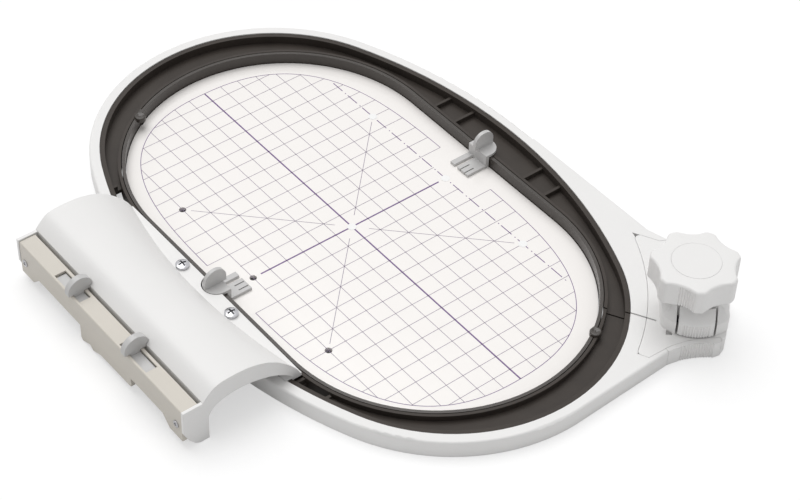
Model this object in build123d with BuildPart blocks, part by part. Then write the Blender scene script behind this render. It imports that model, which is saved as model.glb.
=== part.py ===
from build123d import *
import math
import os

os.makedirs("parts", exist_ok=True)

# Large oval embroidery hoop. Millimetres, +Z up, the table is z = 0.
# The origin is the centre mark of the template, in the plane that the fabric lies in.
# +X runs along the long axis to the tension knob, -Y towards the machine coupling.

# Stitching field and its template
field_length = 255.0
field_width = 145.0
field_margin_end = 11.3
field_margin_side = 8.9
template_thickness = 1.5
template_slack = 0.3
mark_radius = 1.8
mark_pitch = 60.0
peg_notch_slack = 0.5

# Ring: its centre lies a little off the field's centre
ring_x = 0.6
ring_y = 2.0
inner_wall = 1.7
inner_height = 7.6
fabric_gap = 0.4
peg_radius = 2.6
peg_height = 8.6
peg_spread_x = 129.6
peg_spread_y = 42.5

# Dark channel frame: an oval of four arcs round the ring's centre
end_centre = 69.0
side_centre = 156.9
band_radius = 88.0
band_wall = 2.5
band_height = 9.0
channel_wall = 1.6
channel_height = 7.6
floor_top = 4.3
floor_thickness = 2.0
rib_thickness = 1.6
rib_top = 7.0
cell_length = 12.6
cell_width = 7.5
seam = 0.15
split_angle = 29.4
split_gap = 0.8
split_out = 9.0
split_drop = 18.0
split_reach_in = 34.0
split_reach_out = 4.8

# White outer rim and the clamp corner, placed from the knob's axis
rim_radius = 93.4
rim_height = 9.5
rim_skin = 2.0
rim_edge_round = 1.2
rim_round_edges = 4
knob_x = 148.0
knob_y = 86.0
corner_heel_back = 56.0
corner_heel_side = 16.6
corner_bow_back = 16.6
corner_bow_drop = 9.9
corner_toe_out = 5.2
corner_toe_drop = 37.6
grip_joint_in = 10.9
grip_joint_out = 13.1
grip_joint_drop = 24.6
grip_bow_out = 16.3
grip_bow_drop = 13.9
grip_back_out = 14.5
grip_back_drop = 10.8
grip_tip_out = 22.6
grip_tip_drop = 4.0
grip_end_out = 21.2
grip_end_rise = 0.9
corner_side_out = 21.9
corner_side_rise = 3.9
corner_far_out = 3.6
corner_far_rise = 25.8
corner_lip_back = 41.5
corner_lip_rise = 27.2
corner_neck_back = 43.5
corner_neck_rise = 23.2
corner_far_round = 9.0
corner_round = 2.5
corner_wing_out = 10.4
corner_wing_drop = 34.8
corner_nose_out = 23.4
corner_nose_drop = 0.4
flare_start_x = 10.0
flare_knee_back = 53.0
flare_knee_rise = 24.0
grip_flutes = 13
grip_flute_radius = 0.42
grip_flute_first_share = 0.3
grip_flute_last_share = 0.96

# Clamp housing on the corner: an axis frame turned to face the fluted grip
clamp_angle = -41.0
housing_shift = 2.6
housing_half_width = 15.9
housing_front = 9.6
housing_bulge = 7.5
housing_back = 11.8
housing_round = 4.5
housing_height = 14.5
shoulder_drop = 7.2
shoulder_run = 5.4
housing_bore = 10.9
housing_bore_height = 6.6
tab_half_width = 7.4
tab_slit = 2.1
tab_front_inner = 12.4
tab_lift = 0.5
tab_flutes = 10
tab_flute_pitch = 1.3
tab_flute_radius = 0.4
tab_flute_height = 7.2
latch_bottom = 3.3
latch_thickness = 1.5
latch_half_width = 4.9
latch_back = 7.4
eye_radius = 4.3
eye_lead = 1.3
window_back = 8.8
tab_top_drop = 1.6
tab_spring_radius = 1.6
tab_spring_wall = 0.5
tab_spring_gap = 0.2
tab_spring_turns = 3
base_hole_out = 4.4
base_hole_drop = 16.3
base_hole_side = 3.0

# Knob, its spindle and the draw nut
knob_lobes = 7
knob_phase = 13.9
knob_tip_radius = 21.5
knob_scallop_radius = 17.0
knob_waist_radius = 18.6
knob_lobe_round = 2.0
knob_bottom = 30.3
knob_height = 13.2
knob_edge_round = 1.2
knob_wall = 2.4
knob_roof = 3.2
knob_neck_radius = 8.0
knob_flutes = 7
knob_fluted = [1, 2, 5]
knob_flute_pitch = 1.25
knob_flute_lead = 2.4
knob_flute_radius = 0.4
knob_cap_radius = 11.9
knob_cap_depth = 1.2
knob_cap_seam = 0.15
spindle_radius = 4.0
spindle_bore_slack = 0.1
spindle_foot = 2.6
spindle_groove_radius = 2.8
spindle_groove_slack = 0.2
washer_radius = 8.4
washer_thickness = 1.0
washer_play = 0.2
nut_side = 13.0
nut_height = 4.0
nut_bottom = 3.6
nut_pocket_slack = 0.3
nut_pocket_floor = 1.8
circlip_radius = 5.6
circlip_thickness = 0.7
circlip_play = 0.1

# Machine coupling: arched housing on the near long side
arm_half_length = 69.5
arm_cheek = 3.0
arm_wall = 2.6
arm_seat = 7.6
arm_flange_top = 9.5
arm_edge = 82.7
arm_flange_back = 92.0
arm_foot_mid = 91.4
arm_foot_end = 83.2
arm_crest_y = 119.0
arm_crest_z = 31.8
arm_front = 136.6
arm_front_top = 24.4
arm_leg = 2.6
arm_under_crest_y = 117.0
arm_under_crest = 21.4
arm_under_front = 13.5
arm_under_foot = 4.4
arm_rise_shares = [(0.06, 0.17), (0.17, 0.39), (0.31, 0.61), (0.47, 0.79), (0.62, 0.90), (0.80, 0.975)]
arm_fall_shares = [(0.37, 0.97), (0.63, 0.82), (0.83, 0.45)]
arm_under_shares = [(0.22, 0.46), (0.50, 0.78), (0.75, 0.94)]
arm_under_fall_shares = [(0.43, 0.93), (0.80, 0.60)]
ledge_recess_slack = 0.6
cap_front = 147.3
cap_top = 24.0
cap_round = 1.8
cap_chin = 10.5
cap_thickness = 1.6
cap_knee = 144.9
cap_knee_z = 5.6
cap_shin = 141.3
cap_shin_z = 1.2
cap_toe = 138.6
screw_x = 20.2
screw_y = 86.9
screw_head_radius = 3.4
screw_head_height = 2.2
screw_shank_radius = 1.5
screw_tip = 4.9
screw_slack = 0.1
screw_cross_length = 4.0
screw_cross_width = 0.9
screw_cross_depth = 1.0
boss_radius = 3.8

# Coupling bar between the housing's two end caps
bar_half_length = 67.6
bar_front = 147.0
bar_back = 138.2
bar_top = 23.2
bar_bottom = 9.7
bar_skin = 1.0
bar_wall = 1.2
bar_edge_round = 0.8
bar_horn_bottom = 4.4
bar_horn_inner = 52.0
bar_horn_outer = 57.5
bar_block = 6.0
bar_rib_half = 2.5
slot_outer = 38.3
slot_inner = 16.6
slot_front = 145.7
slot_back = 139.7
lever_slack = 0.3
lever_plate_top = 21.9
lever_plate_thickness = 1.6
lever_reach_in = 4.4
lever_reach_out = 0.6
fin_inner = 21.8
fin_thickness = 3.2
fin_radius = 6.7
fin_centre_y = 141.6
fin_centre_z = 24.9
fin_relief = 3.4
hook_half_width = 2.2
hook_thickness = 2.6
hook_bottom = 10.6
hook_tooth = 1.8
hook_tooth_height = 2.6
lever_spring_radius = 2.3
lever_spring_wall = 0.6
lever_spring_gap = 0.3
lever_spring_z = 17.6
lever_spring_turns = 4
lever_pad_height = 4.8
lever_pad_thickness = 1.6
plate_left = 16.0
plate_right = 26.4
plate_bottom = 0.4
plate_thickness = 2.4
plate_teeth = 2
plate_tooth_pitch = 9.0
plate_tooth_rise = 6.3
plate_tooth_depth = 2.5
plate_tooth_round = 1.4
plate_step = 0.5
bar_screw_x = 63.4
bar_screw_z = 12.6
bar_screw_radius = 1.9
bar_screw_head = 0.9
bar_screw_shank = 1.0
bar_screw_length = 4.6

# Two snap-on grips by which the template is lifted
clip_inner = 67.3
clip_wall_inner = 79.2
clip_wall_outer = 81.3
clip_centre_x = -0.5
clip_half_width = 6.8
clip_foot_thickness = 1.6
clip_prong_width = 3.2
clip_prong_gap = 2.2
clip_ledge_bottom = 7.9
clip_ledge_thickness = 1.5
clip_ledge_centre = 82.9
clip_fin_thickness = 2.0
clip_fin_half_width = 6.0
clip_fin_height = 9.2
clip_fin_centre = 83.3
clip_tongue_slit = 0.6
clip_tongue_length = 6.0
clip_tongue_half = 1.7

overrun = 5.0

opening_half_length = field_length / 2 + field_margin_end
opening_half_width = field_width / 2 + field_margin_side
inner_ring_slot = template_slack
inner_ring_outside = inner_ring_slot + inner_wall
channel_inside = inner_ring_outside + fabric_gap
channel_outside = channel_inside + channel_wall
oval_reach = math.hypot(end_centre, side_centre)
ring_centre = Location((ring_x, ring_y))


def oval(end_radius, mode=Mode.ADD):
    """Four tangent arcs round the ring's centre; the end arcs have the given radius."""
    side_radius = end_radius + oval_reach
    tangent_x = end_centre + end_radius * end_centre / oval_reach
    tangent_y = end_radius * side_centre / oval_reach
    corners = [(ring_x + sx * tangent_x, ring_y + sy * tangent_y)
               for sx, sy in ((1, -1), (1, 1), (-1, 1), (-1, -1))]
    end_reach = end_centre + end_radius
    side_reach = side_radius - side_centre
    with BuildLine() as outline:
        ThreePointArc(corners[0], (ring_x + end_reach, ring_y), corners[1])
        ThreePointArc(corners[1], (ring_x, ring_y + side_reach), corners[2])
        ThreePointArc(corners[2], (ring_x - end_reach, ring_y), corners[3])
        ThreePointArc(corners[3], (ring_x, ring_y - side_reach), corners[0])
    make_face(outline.edges(), mode=mode)


def opening(growth, mode=Mode.ADD):
    """The ring's opening: straight long sides and round ends, grown outwards."""
    with Locations(ring_centre):
        SlotOverall(2 * (opening_half_length + growth), 2 * (opening_half_width + growth), mode=mode)


def from_knob(out, rise):
    """A point given by its distances from the knob's axis."""
    return (knob_x + out, knob_y + rise)


# Plan of the corner that carries the clamp, and of the fluted grip set into its outer face
with BuildSketch() as corner_plan:
    with BuildLine():
        heel = from_knob(-corner_heel_back, corner_heel_side)
        toe = from_knob(corner_toe_out, -corner_toe_drop)
        wing = from_knob(corner_wing_out, -corner_wing_drop)
        joint_in = from_knob(grip_joint_in, -grip_joint_drop)
        joint_out = from_knob(grip_joint_out, -grip_joint_drop - seam)
        tip = from_knob(grip_tip_out, -grip_tip_drop)
        nose = from_knob(corner_nose_out, -corner_nose_drop)
        side = from_knob(corner_side_out, corner_side_rise)
        far = from_knob(corner_far_out, corner_far_rise)
        lip = from_knob(-corner_lip_back, corner_lip_rise)
        neck = from_knob(-corner_neck_back, corner_neck_rise)
        ThreePointArc(heel, from_knob(-corner_bow_back, -corner_bow_drop), toe)
        Polyline(toe, wing, joint_in, joint_out)
        ThreePointArc(joint_out, from_knob(grip_bow_out, -grip_bow_drop), tip)
        Polyline(tip, nose, side, far, lip, neck, heel)
    make_face()
    fillet(corner_plan.vertices().sort_by_distance(far)[0], corner_far_round)
    fillet(corner_plan.vertices().sort_by_distance(toe)[0], corner_round)
    fillet(corner_plan.vertices().sort_by_distance(heel)[0], corner_round)

with BuildSketch() as grip_plan:
    with BuildLine():
        grip_end = from_knob(grip_end_out, grip_end_rise)
        grip_face = ThreePointArc(joint_out, from_knob(grip_bow_out, -grip_bow_drop), tip)
        Polyline(tip, nose, grip_end)
        ThreePointArc(grip_end, from_knob(grip_back_out, -grip_back_drop), joint_in)
        Line(joint_in, joint_out)
    make_face()

with BuildSketch() as corner_clear:
    add(corner_plan.sketch)
    offset(amount=seam, kind=Kind.INTERSECTION)

with BuildSketch() as grip_clear:
    add(grip_plan.sketch)
    offset(amount=seam, kind=Kind.INTERSECTION)

# The ring is cut through once, in line with the clamp, so that it can be drawn tight
split_turn = math.radians(split_angle)


def cut_split(reach_out):
    """Saw cut through the ring at the clamp, from the opening outwards."""
    mouth = Plane(
        origin=(*from_knob(-split_out, -split_drop), 0),
        x_dir=(math.cos(split_turn), math.sin(split_turn), 0), z_dir=(0, 0, 1),
    )
    with BuildSketch(mouth) as kerf:
        with Locations((-split_reach_in, 0)):
            Rectangle(split_reach_in + reach_out, split_gap, align=(Align.MIN, Align.CENTER))
    extrude(kerf.sketch, amount=rim_height + overrun, mode=Mode.SUBTRACT)


def cut_arm_seat():
    """Level seat under the flange of the coupling housing."""
    with BuildSketch(Plane.XY.offset(arm_seat)) as seat:
        with Locations((0, -arm_flange_back - seam)):
            Rectangle(
                2 * (arm_half_length + seam), arm_flange_back - arm_edge + 2 * seam,
                align=(Align.CENTER, Align.MIN),
            )
    extrude(seat.sketch, amount=rim_height, mode=Mode.SUBTRACT)


# White outer rim: a skin with an outer skirt, flared into the clamp corner
with BuildPart() as outer_rim:
    with BuildSketch():
        oval(rim_radius)
        with BuildLine():
            rim_side = ring_y + rim_radius + oval_reach - side_centre
            rim_end = ring_x + end_centre + rim_radius
            Polyline(
                (flare_start_x, rim_side), from_knob(-flare_knee_back, flare_knee_rise), lip, neck, heel,
                (knob_x, knob_y), toe, wing, joint_in, joint_out, (rim_end, ring_y),
                (ring_x + end_centre, ring_y), (flare_start_x, rim_side),
            )
        make_face()
    extrude(amount=rim_height)
    fillet(outer_rim.edges().group_by(Axis.Z)[-1].sort_by(Axis.Y)[:rim_round_edges], rim_edge_round)
    with BuildSketch():
        oval(band_radius + seam)
        add(corner_clear.sketch)
    extrude(amount=rim_height, mode=Mode.SUBTRACT)
    with BuildSketch():
        oval(rim_radius - rim_skin)
        oval(band_radius, mode=Mode.SUBTRACT)
    extrude(amount=rim_height - rim_skin, mode=Mode.SUBTRACT)
    cut_split(seam)
    cut_arm_seat()
outer_rim.part.label = "outer_rim"
export_step(outer_rim.part, "parts/outer_rim.step")

# Dark channel frame: inner wall, floor and band, stiffened by cross ribs
far_rib_x = [-42.7, -26.8, 27.6, 43.5]
near_rib_x = [-89.2, -74.4, 71.2, 87.0]
near_cell_x = [-81.8, 79.1]
with BuildPart() as channel_frame:
    with BuildSketch():
        oval(band_radius)
        opening(channel_inside, mode=Mode.SUBTRACT)
    extrude(amount=band_height)
    with BuildSketch(Plane.XY.offset(floor_top)):
        oval(band_radius - band_wall)
        opening(channel_outside, mode=Mode.SUBTRACT)
    extrude(amount=band_height, mode=Mode.SUBTRACT)
    with BuildSketch(Plane.XY.offset(channel_height)):
        oval(band_radius - band_wall)
    extrude(amount=band_height, mode=Mode.SUBTRACT)
    with BuildSketch():
        oval(band_radius - band_wall)
        opening(channel_outside, mode=Mode.SUBTRACT)
    extrude(amount=floor_top - floor_thickness, mode=Mode.SUBTRACT)
    with BuildSketch(Plane.XY.offset(floor_top)):
        oval(band_radius - band_wall / 2)
        opening(channel_outside - channel_wall / 2, mode=Mode.SUBTRACT)
        with Locations(*[(x, ring_y + opening_half_width) for x in far_rib_x]):
            Rectangle(
                rib_thickness, band_radius, align=(Align.CENTER, Align.MIN), mode=Mode.INTERSECT
            )
    extrude(amount=rib_top - floor_top)
    with BuildSketch(Plane.XY.offset(floor_top)):
        oval(band_radius - band_wall / 2)
        opening(channel_outside - channel_wall / 2, mode=Mode.SUBTRACT)
        with Locations(*[(x, ring_y - opening_half_width) for x in near_rib_x]):
            Rectangle(
                rib_thickness, band_radius, align=(Align.CENTER, Align.MAX), mode=Mode.INTERSECT
            )
    extrude(amount=rib_top - floor_top)
    with BuildSketch():
        opening(channel_outside + cell_width)
        opening(channel_outside, mode=Mode.SUBTRACT)
        with Locations(*[(x, ring_y - opening_half_width) for x in near_cell_x]):
            Rectangle(
                cell_length, band_radius, align=(Align.CENTER, Align.CENTER), mode=Mode.INTERSECT
            )
    extrude(amount=floor_top, mode=Mode.SUBTRACT)
    with BuildSketch(Plane.XY.offset(floor_top)):
        with Locations(*[(sx * screw_x, -screw_y) for sx in (-1, 1)]):
            Circle(boss_radius)
    extrude(amount=arm_seat - floor_top)
    with BuildSketch():
        with Locations(*[(sx * screw_x, -screw_y) for sx in (-1, 1)]):
            Circle(screw_shank_radius + screw_slack)
    extrude(amount=arm_seat, mode=Mode.SUBTRACT)
    cut_split(seam)
    cut_arm_seat()
channel_frame.part.label = "channel_frame"
export_step(channel_frame.part, "parts/channel_frame.step")

# Inner ring: a plain wall that presses the fabric, with two pegs to lift it by
with BuildPart() as inner_ring:
    with BuildSketch():
        opening(inner_ring_outside)
        opening(inner_ring_slot, mode=Mode.SUBTRACT)
    extrude(amount=inner_height)
    with BuildSketch():
        peg_places = [
            (ring_x - peg_spread_x, ring_y - peg_spread_y),
            (ring_x + peg_spread_x, ring_y + peg_spread_y),
        ]
        with Locations(*peg_places):
            Circle(peg_radius)
    extrude(amount=peg_height)
    with BuildSketch():
        opening(inner_ring_outside + band_radius)
        opening(inner_ring_outside, mode=Mode.SUBTRACT)
    extrude(amount=peg_height, mode=Mode.SUBTRACT)
inner_ring.part.label = "inner_ring"
export_step(inner_ring.part, "parts/inner_ring.step")

# Template: a clear sheet that drops into the inner ring, with nine marking holes
with BuildPart() as template:
    with BuildSketch():
        opening(0)
        with Locations(*peg_places):
            Circle(peg_radius + peg_notch_slack, mode=Mode.SUBTRACT)
        with Locations((0, 0), (-mark_pitch, -mark_pitch), (-mark_pitch, mark_pitch),
                       (mark_pitch, -mark_pitch), (mark_pitch, mark_pitch),
                       (0, -mark_pitch), (0, mark_pitch)):
            Circle(mark_radius, mode=Mode.SUBTRACT)
    extrude(amount=template_thickness)
template.part.label = "template"
export_step(template.part, "parts/template.step")

def strip(x_from, x_to, y_from, y_to, mode=Mode.ADD):
    """Rectangle between two corners."""
    with Locations(((x_from + x_to) / 2, (y_from + y_to) / 2)):
        Rectangle(abs(x_to - x_from), abs(y_to - y_from), mode=mode)


def build_clip(direction):
    """Grip: two prongs on the sheet, a post, a ledge over the ring and an upright fin.
    direction is +1 on the far long side and -1 on the near one."""
    def across(reach):
        return ring_y + direction * reach

    left = clip_centre_x - clip_half_width
    right = clip_centre_x + clip_half_width
    tongue_left = left + clip_prong_width + clip_prong_gap
    tongue_middle = (tongue_left + right) / 2
    post_top = clip_ledge_bottom + clip_ledge_thickness
    with BuildSketch(Plane.XY.offset(template_thickness)) as foot:
        strip(left, left + clip_prong_width, across(clip_inner), across(clip_wall_outer))
        strip(tongue_left, right, across(clip_inner), across(clip_wall_outer))
        tongue_end = across(clip_inner + clip_tongue_length)
        for side_shift in (-clip_tongue_half, clip_tongue_half):
            strip(
                tongue_middle + side_shift - clip_tongue_slit / 2,
                tongue_middle + side_shift + clip_tongue_slit / 2,
                across(clip_inner), tongue_end, mode=Mode.SUBTRACT,
            )
    extrude(foot.sketch, amount=clip_foot_thickness)
    with BuildSketch(Plane.XY.offset(template_thickness)) as post:
        strip(left, right, across(clip_wall_inner), across(clip_wall_outer))
    extrude(post.sketch, amount=post_top - template_thickness)
    with BuildSketch(Plane.XY.offset(clip_ledge_bottom)) as ledge:
        with Locations((clip_centre_x, across(clip_ledge_centre))):
            Circle(clip_half_width)
        strip(left, right, across(clip_ledge_centre), across(clip_wall_inner))
        strip(left, right, across(clip_wall_inner), across(clip_inner), mode=Mode.SUBTRACT)
    extrude(ledge.sketch, amount=clip_ledge_thickness)
    fin_face = clip_centre_x + clip_fin_thickness / 10
    fin_plane = Plane(origin=(fin_face, across(clip_fin_centre), post_top), x_dir=(0, 1, 0), z_dir=(1, 0, 0))
    with BuildSketch(fin_plane) as fin:
        Rectangle(
            2 * clip_fin_half_width, clip_fin_height - clip_fin_half_width, align=(Align.CENTER, Align.MIN)
        )
        with Locations((0, clip_fin_height - clip_fin_half_width)):
            Circle(clip_fin_half_width)
        strip(-clip_fin_half_width, clip_fin_half_width, -2 * clip_fin_half_width, 0, mode=Mode.SUBTRACT)
    extrude(fin.sketch, amount=-clip_fin_thickness)


# Far grip of the template
with BuildPart() as template_clip_far:
    build_clip(1)
template_clip_far.part.label = "template_clip_far"
export_step(template_clip_far.part, "parts/template_clip_far.step")

# Near grip of the template
with BuildPart() as template_clip_near:
    build_clip(-1)
template_clip_near.part.label = "template_clip_near"
export_step(template_clip_near.part, "parts/template_clip_near.step")


def clamp_plane(height):
    """Plane on the knob's axis: local x runs out through the press tab, local y along the housing."""
    turn = math.radians(clamp_angle)
    return Plane(
        origin=(knob_x, knob_y, height), x_dir=(math.cos(turn), math.sin(turn), 0), z_dir=(0, 0, 1)
    )


# Clamp base: the corner block that the band is drawn up to
with BuildPart() as clamp_base:
    with BuildSketch():
        add(corner_plan.sketch)
        add(grip_clear.sketch, mode=Mode.SUBTRACT)
    extrude(amount=rim_height)
    with BuildSketch(clamp_plane(nut_pocket_floor)):
        Rectangle(nut_side + 2 * nut_pocket_slack, nut_side + 2 * nut_pocket_slack)
    extrude(amount=rim_height, mode=Mode.SUBTRACT)
    with BuildSketch(Plane.XY.offset(rim_height - rim_skin)):
        with Locations(from_knob(base_hole_out, -base_hole_drop)):
            Rectangle(base_hole_side, base_hole_side, rotation=clamp_angle)
    extrude(amount=rim_skin, mode=Mode.SUBTRACT)
    cut_split(split_reach_out)
clamp_base.part.label = "clamp_base"
export_step(clamp_base.part, "parts/clamp_base.step")

# Fluted grip set into the outer face of the corner
grip_line = grip_face
with BuildPart() as grip_pad:
    with BuildSketch():
        add(grip_plan.sketch)
        flute_step = (grip_flute_last_share - grip_flute_first_share) / (grip_flutes - 1)
        flute_places = [grip_line @ (grip_flute_first_share + i * flute_step) for i in range(grip_flutes)]
        with Locations(*[(place.X, place.Y) for place in flute_places]):
            Circle(grip_flute_radius, mode=Mode.SUBTRACT)
    extrude(amount=rim_height)
grip_pad.part.label = "grip_pad"
export_step(grip_pad.part, "parts/grip_pad.step")


def housing_outline():
    """Rounded block with a bowed front face."""
    with BuildSketch(Plane.XY) as outline:
        with BuildLine() as edge_line:
            low = housing_shift - housing_half_width
            high = housing_shift + housing_half_width
            ThreePointArc(
                (housing_front, low), (housing_front + housing_bulge, housing_shift), (housing_front, high)
            )
            Polyline(
                (housing_front, high), (-housing_back, high), (-housing_back, low), (housing_front, low)
            )
        make_face(edge_line.edges())
        fillet(outline.vertices(), housing_round)
    return outline.sketch


housing_face = housing_outline()
shoulder_slope = math.degrees(math.atan(shoulder_run / shoulder_drop))


def raise_housing():
    """Upright wall with a sloping shoulder above it."""
    with BuildSketch(clamp_plane(rim_height)) as wall:
        add(housing_face)
    extrude(wall.sketch, amount=housing_height - shoulder_drop)
    with BuildSketch(clamp_plane(rim_height + housing_height - shoulder_drop)) as shoulder:
        add(housing_face)
    extrude(shoulder.sketch, amount=shoulder_drop, taper=shoulder_slope)


# Clamp housing: carries the spindle, slotted in front for the press tab
with BuildPart() as clamp_housing:
    raise_housing()
    with BuildSketch(clamp_plane(rim_height)):
        Circle(housing_bore)
    extrude(amount=housing_bore_height, mode=Mode.SUBTRACT)
    with BuildSketch(clamp_plane(rim_height)):
        Circle(spindle_radius + spindle_bore_slack)
    extrude(amount=housing_height, mode=Mode.SUBTRACT)
    window_half = tab_half_width + tab_slit
    with BuildSketch(clamp_plane(rim_height)):
        strip(
            window_back, 2 * housing_front, housing_shift - window_half, housing_shift + window_half
        )
    extrude(amount=housing_height, mode=Mode.SUBTRACT)
clamp_housing.part.label = "clamp_housing"
export_step(clamp_housing.part, "parts/clamp_housing.step")

# Press tab: fluted front and a flat latch whose eye catches the spindle's groove
with BuildPart() as release_tab:
    raise_housing()
    with BuildSketch(clamp_plane(rim_height + tab_lift)):
        strip(
            tab_front_inner, 2 * housing_front, housing_shift - tab_half_width,
            housing_shift + tab_half_width,
        )
    extrude(amount=housing_height - tab_lift - tab_top_drop, mode=Mode.INTERSECT)
    with BuildSketch(clamp_plane(rim_height + tab_lift)):
        flute_middle = (tab_flutes - 1) / 2
        bow_radius = (housing_half_width**2 + housing_bulge**2) / (2 * housing_bulge)
        flute_spots = []
        for i in range(tab_flutes):
            along = (i - flute_middle) * tab_flute_pitch
            bow_out = housing_front + housing_bulge - bow_radius + math.sqrt(bow_radius**2 - along**2)
            flute_spots.append((bow_out, housing_shift + along))
        with Locations(*flute_spots):
            Circle(tab_flute_radius)
    extrude(amount=tab_flute_height, mode=Mode.SUBTRACT)
    with BuildSketch(clamp_plane(rim_height + latch_bottom)):
        strip(-latch_back, tab_front_inner + tab_lift, -latch_half_width, latch_half_width)
        with Locations((eye_lead, 0)):
            Circle(eye_radius, mode=Mode.SUBTRACT)
    extrude(amount=latch_thickness)
release_tab.part.label = "release_tab"
export_step(release_tab.part, "parts/release_tab.step")


def coil(start, direction, length, turns, radius, wire):
    """Wound wire spring along a line."""
    with BuildLine() as spine:
        Helix(pitch=length / turns, height=length, radius=radius, center=start, direction=direction)
    with BuildSketch(Plane(origin=spine.line @ 0, z_dir=spine.line % 0)) as wire_end:
        Circle(wire / 2)
    sweep(wire_end.sketch, path=spine.line, is_frenet=True)


# Spring that returns the press tab
with BuildPart() as tab_spring:
    out_dir = clamp_plane(0).x_dir
    spring_length = housing_bore - latch_back - 2 * tab_spring_gap - tab_spring_wall
    spring_start = clamp_plane(rim_height + latch_bottom + latch_thickness / 2).from_local_coords(
        Vector(-latch_back - tab_spring_gap - tab_spring_wall / 2, 0, 0)
    )
    coil(
        spring_start, -out_dir, spring_length - tab_spring_gap, tab_spring_turns, tab_spring_radius,
        tab_spring_wall,
    )
tab_spring.part.label = "tab_spring"
export_step(tab_spring.part, "parts/tab_spring.step")

# Tension spindle, grooved for the latch and for its retaining ring
washer_bottom = rim_height + housing_height
neck_bottom = washer_bottom + washer_thickness + washer_play
knob_top = knob_bottom + knob_height
circlip_bottom = rim_height + housing_bore_height - circlip_thickness - circlip_play
with BuildPart() as tension_spindle:
    with BuildSketch(clamp_plane(spindle_foot)):
        Circle(spindle_radius)
    extrude(amount=knob_top - knob_roof - spindle_foot)
    with BuildSketch(clamp_plane(rim_height + latch_bottom - spindle_groove_slack)):
        Circle(spindle_radius)
        Circle(spindle_groove_radius, mode=Mode.SUBTRACT)
    extrude(amount=latch_thickness + 2 * spindle_groove_slack, mode=Mode.SUBTRACT)
    with BuildSketch(clamp_plane(circlip_bottom - circlip_play)):
        Circle(spindle_radius)
        Circle(spindle_groove_radius, mode=Mode.SUBTRACT)
    extrude(amount=circlip_thickness + 2 * circlip_play, mode=Mode.SUBTRACT)
    chamfer(tension_spindle.edges().sort_by(Axis.Z)[0], spindle_groove_slack * 2)
tension_spindle.part.label = "tension_spindle"
export_step(tension_spindle.part, "parts/tension_spindle.step")

# Retaining ring under the housing's roof
with BuildPart() as retaining_ring:
    with BuildSketch(clamp_plane(circlip_bottom)):
        Circle(circlip_radius)
        Circle(spindle_groove_radius + spindle_bore_slack, mode=Mode.SUBTRACT)
        gap_half = spindle_groove_radius / 2
        strip(0, 2 * circlip_radius, -gap_half, gap_half, mode=Mode.SUBTRACT)
    extrude(amount=circlip_thickness)
retaining_ring.part.label = "retaining_ring"
export_step(retaining_ring.part, "parts/retaining_ring.step")

# Thrust washer between the housing and the knob
with BuildPart() as thrust_washer:
    with BuildSketch(clamp_plane(washer_bottom)):
        Circle(washer_radius)
        Circle(spindle_radius + spindle_bore_slack, mode=Mode.SUBTRACT)
    extrude(amount=washer_thickness)
thrust_washer.part.label = "thrust_washer"
export_step(thrust_washer.part, "parts/thrust_washer.step")

# Draw nut: square, kept from turning by its pocket
with BuildPart() as tension_nut:
    with BuildSketch(clamp_plane(nut_bottom)):
        Rectangle(nut_side, nut_side)
        Circle(spindle_radius + spindle_bore_slack, mode=Mode.SUBTRACT)
    extrude(amount=nut_height)
tension_nut.part.label = "tension_nut"
export_step(tension_nut.part, "parts/tension_nut.step")


# Knob: seven rounded lobes with scallops between them
lobe_pitch = 360 / knob_lobes
scallop_reach = knob_waist_radius + knob_scallop_radius
scallop_angles = [knob_phase + (i + 1 / 2) * lobe_pitch for i in range(knob_lobes)]
with BuildSketch() as star_plan:
    Circle(knob_tip_radius)
    with Locations(*[
        (scallop_reach * math.cos(math.radians(a)), scallop_reach * math.sin(math.radians(a)))
        for a in scallop_angles
    ]):
        Circle(knob_scallop_radius, mode=Mode.SUBTRACT)
    fillet(star_plan.vertices(), knob_lobe_round)
with BuildSketch() as star_hollow:
    Circle(knob_tip_radius - knob_wall)
    with Locations(*[
        (scallop_reach * math.cos(math.radians(a)), scallop_reach * math.sin(math.radians(a)))
        for a in scallop_angles
    ]):
        Circle(knob_scallop_radius + knob_wall, mode=Mode.SUBTRACT)

with BuildPart() as star_knob:
    with BuildSketch(Plane(origin=(knob_x, knob_y, knob_bottom))):
        add(star_plan.sketch)
    extrude(amount=knob_height)
    fillet(star_knob.edges().group_by(Axis.Z)[-1], knob_edge_round)
    with BuildSketch(Plane(origin=(knob_x, knob_y, knob_bottom))):
        add(star_hollow.sketch)
    extrude(amount=knob_height - knob_roof, mode=Mode.SUBTRACT)
    with BuildSketch(Plane(origin=(knob_x, knob_y, neck_bottom))):
        Circle(knob_neck_radius)
    extrude(amount=knob_top - knob_roof - neck_bottom)
    with BuildSketch(Plane(origin=(knob_x, knob_y, neck_bottom))):
        Circle(spindle_radius)
    extrude(amount=knob_top - knob_roof - neck_bottom, mode=Mode.SUBTRACT)
    with BuildSketch(Plane(origin=(knob_x, knob_y, knob_top - knob_cap_depth))):
        Circle(knob_cap_radius)
    extrude(amount=knob_cap_depth, mode=Mode.SUBTRACT)
    flute_turn = knob_flute_pitch / knob_scallop_radius
    flute_spots = []
    for a in [math.radians(scallop_angles[k]) for k in knob_fluted]:
        for i in range(knob_flutes):
            b = a + (i - (knob_flutes - 1) / 2) * flute_turn + knob_flute_lead / knob_scallop_radius
            flute_spots.append((
                scallop_reach * math.cos(a) - knob_scallop_radius * math.cos(b),
                scallop_reach * math.sin(a) - knob_scallop_radius * math.sin(b),
            ))
    with BuildSketch(Plane(origin=(knob_x, knob_y, knob_bottom))):
        with Locations(*flute_spots):
            Circle(knob_flute_radius)
    extrude(amount=knob_height - knob_edge_round, mode=Mode.SUBTRACT)
star_knob.part.label = "star_knob"
export_step(star_knob.part, "parts/star_knob.step")

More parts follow.
